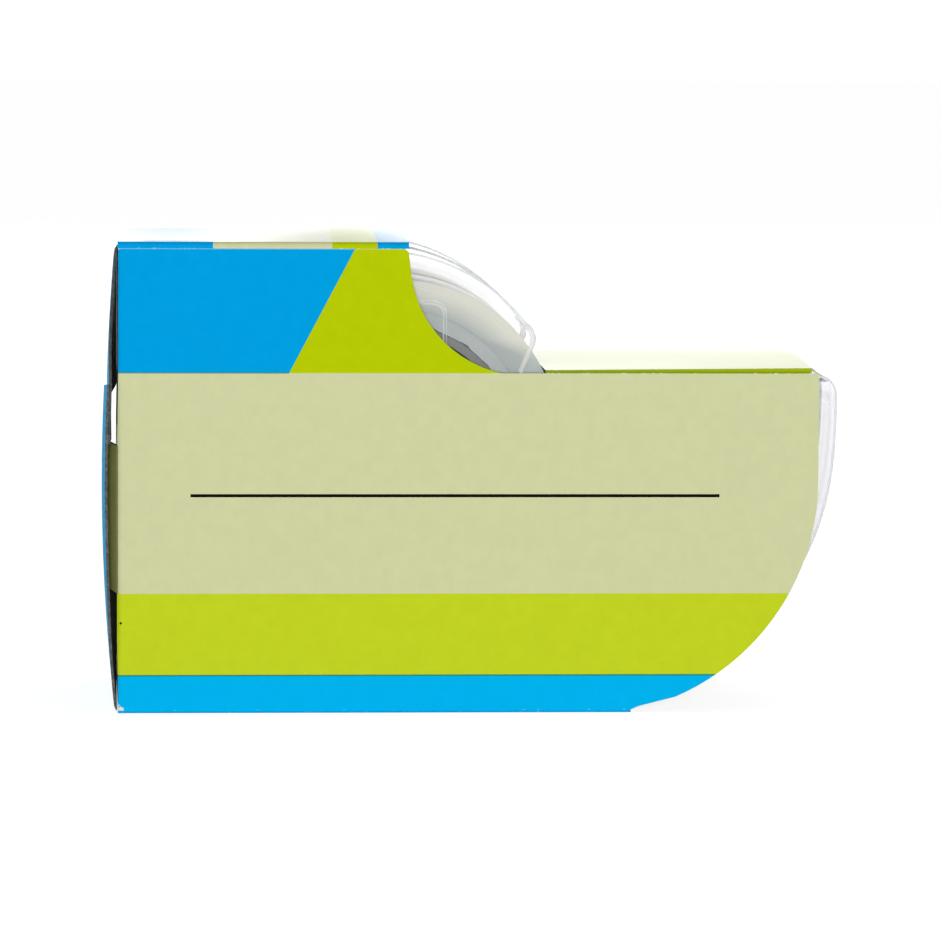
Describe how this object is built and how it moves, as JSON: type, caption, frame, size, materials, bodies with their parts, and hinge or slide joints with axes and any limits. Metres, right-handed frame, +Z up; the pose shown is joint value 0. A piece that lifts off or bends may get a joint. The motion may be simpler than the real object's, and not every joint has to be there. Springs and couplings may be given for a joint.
{
  "type": "tape dispenser pack",
  "caption": "Clear hand tape dispensers with wound rolls, side by side in a folded card carton with an open nose side, a curved window and hinged end flaps.",
  "frame": {"origin": "under the middle of the pack, on the surface it stands on", "axes": "+X towards the noses of the dispensers, -Y out of the front panel, +Z up"},
  "size_m": [0.1212, 0.048, 0.0789],
  "materials": {
    "card_beige": "coated carton board, printed pale green-beige",
    "card_lime": "coated carton board, printed lime",
    "card_blue": "coated carton board, printed blue",
    "clear_plastic": "clear moulded polystyrene",
    "cutter_steel": "thin stamped steel strip",
    "tape_film": "clear film with adhesive, wound many layers deep",
    "roll_core": "grey-blue moulded core ring"
  },
  "bodies": {
    "carton": {"front_panel": "card_beige", "back_panel": "card_beige", "top_panel": "card_lime", "shelf_panel": "card_lime", "base_panel": "card_blue", "front_side_tab": "card_beige", "back_side_tab": "card_beige"},
    "outer_flap": {"outer_end_flap": "card_blue"},
    "inner_flap": {"inner_end_flap": "card_blue"},
    "near_dispenser": {"near_cover_plate": "clear_plastic", "near_back_plate": "clear_plastic", "near_rim": "clear_plastic", "near_hub": "clear_plastic", "near_cutter": "cutter_steel", "near_tape_tail": "tape_film"},
    "near_roll": {"near_core": "roll_core", "near_tape_roll": "tape_film"},
    "far_dispenser": {"far_cover_plate": "clear_plastic", "far_back_plate": "clear_plastic", "far_rim": "clear_plastic", "far_hub": "clear_plastic", "far_cutter": "cutter_steel", "far_tape_tail": "tape_film"},
    "far_roll": {"far_core": "roll_core", "far_tape_roll": "tape_film"}
  },
  "joints": [
    {"name": "near_dispenser_slide", "type": "slide", "parent": "carton", "child": "near_dispenser", "axis": [-1, 0, 0], "range_m": [0, 0.012]},
    {"name": "near_roll_spin", "type": "hinge", "parent": "near_dispenser", "child": "near_roll", "pos_m": [-0.01172, -0.0117, 0.045], "axis": [0, 1, 0], "continuous": true},
    {"name": "far_dispenser_slide", "type": "slide", "parent": "carton", "child": "far_dispenser", "axis": [-1, 0, 0], "range_m": [0, 0.012]},
    {"name": "far_roll_spin", "type": "hinge", "parent": "far_dispenser", "child": "far_roll", "pos_m": [-0.01172, 0.0117, 0.045], "axis": [0, 1, 0], "continuous": true},
    {"name": "outer_flap_hinge", "type": "hinge", "parent": "carton", "child": "outer_flap", "pos_m": [-0.05802, 0, 0.0003], "axis": [0, -1, 0], "range_deg": [0, 80]},
    {"name": "inner_flap_hinge", "type": "hinge", "parent": "carton", "child": "inner_flap", "pos_m": [-0.05802, 0, 0.07725], "axis": [0, 1, 0], "range_deg": [0, 80]}
  ],
  "couplings": [
    {"joint": "inner_flap_hinge", "follows": "outer_flap_hinge", "ratio": 1}
  ]
}
